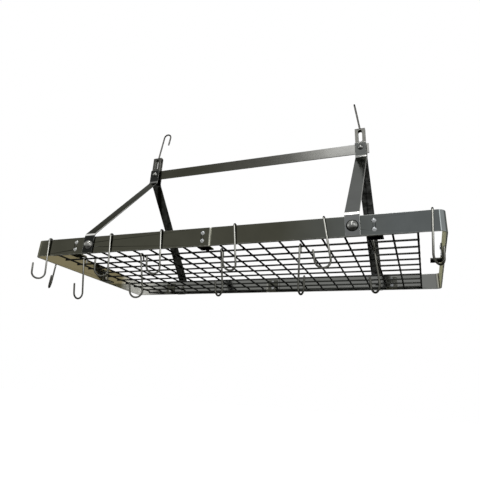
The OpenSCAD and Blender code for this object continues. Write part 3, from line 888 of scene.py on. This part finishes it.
@dataclass
class Thread:
    """A screw thread as one triangular ridge wound on a bolt's end.

    Attributes:
        radius: the bolt's radius in metres.
        pitch: the thread's pitch.
        depth: how far the ridge stands out.
        length: how far the thread runs.
        sink: how deep the ridge's foot lies in the bolt.
        steps: the steps of one turn.
        first_height: the ridge's height at its two ends, as a share of its depth.
    """

    radius: float
    pitch: float
    depth: float
    length: float = 2.4 * MM
    sink: float = 0.1 * MM
    steps: int = 28
    first_height: float = 0.15

    def add(self, shape: bmesh.types.BMesh, seat: Vector, way: Vector) -> None:
        """Winds the ridge.

        Args:
            shape: the mesh it is added to.
            seat: where the thread starts on the bolt's axis.
            way: the unit direction along the bolt.
        """
        side = way.orthogonal().normalized()
        other = way.cross(side)
        turns = (self.length - self.pitch) / self.pitch
        count = max(int(turns * self.steps), 2)
        rings = []
        for i in range(count + 1):
            angle = 2.0 * math.pi * i / self.steps
            out = side * math.cos(angle) + other * math.sin(angle)
            taper = min(1.0, 4.0 * min(i, count - i) / self.steps + self.first_height)
            base = seat + way * (self.pitch * i / self.steps)
            foot = out * (self.radius - self.sink)
            crest = out * (self.radius + self.depth * taper)
            spots = (base + foot, base + way * (self.pitch / 2.0) + crest, base + way * self.pitch + foot)
            rings.append([shape.verts.new(spot) for spot in spots])
        for first, second in zip(rings, rings[1:]):
            for k in range(3):
                shape.faces.new((first[k], second[k], second[(k + 1) % 3], first[(k + 1) % 3]))
        shape.faces.new(rings[0])
        shape.faces.new(list(reversed(rings[-1])))


@dataclass
class Straps:
    """The four bent straps and the bolts that hold their feet to the band."""

    shop: Workshop
    edge: float = 1.0 * MM
    nut_edge: float = 0.2 * MM
    nut_thick: float = 6.5 * MM
    thread: Thread = field(default_factory=lambda: Thread(4.0 * MM, 1.25 * MM, 0.28 * MM))

    def build(self) -> None:
        """Dresses the straps and their bolts, and adds the threads."""
        self.shop.dress(["strap_front_left", "strap_front_right"], STRAP, self.edge)
        self.shop.dress(["strap_rear_left", "strap_rear_right"], REAR_STRAP, self.edge)
        self.shop.dress(["strap_bolts", "strap_washers"], FASTENER)
        self.shop.dress(["strap_nuts"], FASTENER, self.nut_edge)
        shape = bmesh.new()
        reach, level = bolt_line("strap_bolts")
        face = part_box("strap_nuts")[1].y - self.nut_thick
        for x in (-reach, reach):
            for sign in (-1.0, 1.0):
                self.thread.add(shape, Vector((x, sign * face, level)), Vector((0.0, -sign, 0.0)))
        mesh = mesh_of("strap_bolt_threads", shape)
        self.shop.piece("strap_bolt_threads", mesh, FASTENER, Slot.FASTENER)


@dataclass
class Apex:
    """The top bar, the two hanger brackets and what bolts them to the straps."""

    shop: Workshop
    edge: float = 0.45 * MM
    bracket_edge: float = 0.35 * MM
    nut_edge: float = 0.2 * MM
    thread: Thread = field(default_factory=lambda: Thread(3.0 * MM, 1.0 * MM, 0.22 * MM))

    def build(self) -> None:
        """Dresses the bar, the brackets and the fasteners, and adds the threads."""
        self.shop.dress(["top_bar"], BAR, self.edge)
        self.shop.dress(["hanger_bracket_left", "hanger_bracket_right"], BRACKET, self.bracket_edge)
        self.shop.dress(["apex_bolts", "apex_spacers", "apex_washers"], FASTENER)
        self.shop.dress(["apex_nuts"], FASTENER, self.nut_edge)
        shape = bmesh.new()
        reach, level = bolt_line("apex_bolts")
        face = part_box("apex_nuts")[1].y
        for x in (-reach, reach):
            self.thread.add(shape, Vector((x, face, level)), Vector((0.0, 1.0, 0.0)))
        mesh = mesh_of("apex_bolt_threads", shape)
        self.shop.piece("apex_bolt_threads", mesh, FASTENER, Slot.FASTENER)


@dataclass
class Hooks:
    """The ceiling hooks and the pot hooks."""

    shop: Workshop
    band_hooks: int = 6
    grid_hooks: int = 5

    def build(self) -> None:
        """Dresses all the hooks."""
        names = [f"band_hook_{i + 1}" for i in range(self.band_hooks)]
        names += [f"grid_hook_{i + 1}" for i in range(self.grid_hooks)]
        self.shop.dress(names + ["end_hook"], HOOK)
        self.shop.dress(["ceiling_hook_left", "ceiling_hook_right"], CEILING_HOOK)


@dataclass(frozen=True)
class View:
    """The photograph's camera: where it stands, how it turns and its lens.

    Attributes:
        place: the camera's place in metres.
        yaw: its turn to the left, in radians.
        pitch: its tilt upwards.
        roll: its roll.
        focal: the focal length in pixels.
        centre: the pixel that its axis meets.
        image: the width and height of the photograph in pixels.
        sensor: the sensor's width in millimetres.
        near_clip: the nearest distance seen.
    """

    place: tuple[float, float, float] = (0.399414, -1.013338, -0.716852)
    yaw: float = 0.3989
    pitch: float = 0.3967
    roll: float = 0.0636
    focal: float = 444.295
    centre: tuple[float, float] = (237.95, 203.88)
    image: int = 480
    sensor: float = 36.0
    near_clip: float = 0.01

    def build(self) -> None:
        """Makes the camera and sets it on the scene."""
        tilt = math.cos(self.pitch)
        ahead = Vector((-math.sin(self.yaw) * tilt, math.cos(self.yaw) * tilt, math.sin(self.pitch)))
        level = Vector((math.cos(self.yaw), math.sin(self.yaw), 0.0))
        upright = level.cross(ahead)
        right = level * math.cos(self.roll) + upright * math.sin(self.roll)
        up = upright * math.cos(self.roll) - level * math.sin(self.roll)
        lens = bpy.data.cameras.new("photo_camera")
        lens.sensor_width = self.sensor
        lens.lens = self.focal * self.sensor / self.image
        lens.shift_x = (self.image / 2.0 - self.centre[0]) / self.image
        lens.shift_y = (self.centre[1] - self.image / 2.0) / self.image
        lens.clip_start = self.near_clip
        camera = bpy.data.objects.new("photo_camera", lens)
        turn = Matrix((right, up, -ahead)).transposed()
        camera.matrix_world = Matrix.Translation(self.place) @ turn.to_4x4()
        bpy.context.scene.collection.objects.link(camera)
        bpy.context.scene.camera = camera


@dataclass(frozen=True)
class Softbox:
    """One soft lamp.

    Attributes:
        name: its name.
        place: where it stands, in metres.
        aim: what it points at.
        width: its width.
        height: its height.
        radiance: how bright its face is, where 1 is white.
        colour: its colour as seen on a screen.
    """

    name: str
    place: tuple[float, float, float]
    aim: tuple[float, float, float]
    width: float
    height: float
    radiance: float
    colour: Rgb = (255, 255, 255)

    def build(self) -> None:
        """Adds the lamp."""
        lamp = bpy.data.lights.new(self.name, "AREA")
        lamp.shape = "RECTANGLE"
        lamp.size = self.width
        lamp.size_y = self.height
        lamp.energy = self.radiance * math.pi * self.width * self.height
        lamp.color = linear(self.colour)[:3]
        holder = bpy.data.objects.new(self.name, lamp)
        holder.location = self.place
        way = Vector(self.aim) - Vector(self.place)
        holder.rotation_mode = "QUATERNION"
        holder.rotation_quaternion = way.to_track_quat("-Z", "Y")
        holder.visible_camera = False
        bpy.context.scene.collection.objects.link(holder)


@dataclass
class Studio:
    """The pale floor, the white surroundings and the lamps."""

    floor_drop: float = 0.85
    floor_size: float = 40.0
    floor_glow: float = 0.72
    floor_colour: Rgb = (232, 232, 230)
    fill: float = 0.6
    lamps: tuple[Softbox, ...] = (
        Softbox("key_softbox", (0.05, -2.3, 1.5), (0.0, 0.0, -0.3), 0.85, 1.1, 5.0),
        Softbox("high_spot_box", (0.3, -1.2, 2.2), (0.0, -0.1, -0.4), 0.4, 0.4, 18.0),
        Softbox("top_softbox", (-0.2, -0.7, 2.4), (0.0, 0.0, -0.3), 2.4, 1.0, 1.0),
        Softbox("left_panel", (-2.47, -0.66, 0.0), (-0.11, 0.165, -0.2), 2.245, 1.3, 1.6),
        Softbox("right_panel", (2.05, -0.93, -0.1), (0.02, 0.16, -0.3), 2.33, 1.4, 1.0),
        Softbox("right_front_strip", (1.45, -1.95, 0.25), (0.45, -0.22, -0.43), 0.35, 1.2, 4.0),
        Softbox("rear_warm_panel", (1.3, 2.2, 0.1), (-0.45, 0.0, -0.43), 1.5, 0.9, 1.2, (255, 244, 222)),
    )

    def surroundings(self) -> None:
        """Makes the world: white to the eye and in metal, and a softer fill elsewhere."""
        world = bpy.data.worlds.new("white_room")
        world.use_nodes = True
        bpy.context.scene.world = world
        wiring = Wiring(world.node_tree)
        strength = wiring.ramp(wiring.seen(), 0.0, 1.0, self.fill)
        light = wiring.put("ShaderNodeBackground", {"Color": WHITE, "Strength": strength})
        wiring.put("ShaderNodeOutputWorld", {"Surface": light.outputs[0]})

    def floor(self, low: Vector) -> None:
        """Lays the floor under the rack.

        Args:
            low: the lowest corner of the rack's box.
        """
        shape = bmesh.new()
        bmesh.ops.create_grid(shape, x_segments=1, y_segments=1, size=self.floor_size / 2.0)
        floor = bpy.data.objects.new("studio_floor", mesh_of("studio_floor", shape))
        floor.location = (0.0, 0.0, low.z - self.floor_drop)
        bpy.context.scene.collection.objects.link(floor)
        material = bpy.data.materials.new("studio_floor")
        material.use_nodes = True
        wiring = Wiring(material.node_tree)
        glow = wiring.math("MULTIPLY", wiring.seen(), self.floor_glow)
        paint = wiring.put(
            "ShaderNodeBsdfPrincipled",
            {
                "Base Color": linear(self.floor_colour),
                "Roughness": 0.9,
                "Specular IOR Level": 0.1,
                "Emission Color": WHITE,
                "Emission Strength": glow,
            },
        )
        wiring.put("ShaderNodeOutputMaterial", {"Surface": paint.outputs[0]})
        floor.data.materials.append(material)
        floor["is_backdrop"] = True

    def build(self, low: Vector) -> None:
        """Makes the surroundings, the floor and the lamps.

        Args:
            low: the lowest corner of the rack's box.
        """
        self.surroundings()
        self.floor(low)
        for lamp in self.lamps:
            lamp.build()
        bpy.context.scene.view_settings.view_transform = "Standard"


def main() -> None:
    """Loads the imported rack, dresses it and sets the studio."""
    logging.basicConfig(level=logging.INFO, format="%(name)s: %(message)s")
    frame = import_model()
    cad_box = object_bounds()
    View().build()
    shop = Workshop(frame["nodes"])
    shop.prepare()
    for assembly in (Band(shop), WireGrid(shop), Straps(shop), Apex(shop), Hooks(shop)):
        assembly.build()
    Studio().build(cad_box[0])


if __name__ == "__main__":
    main()
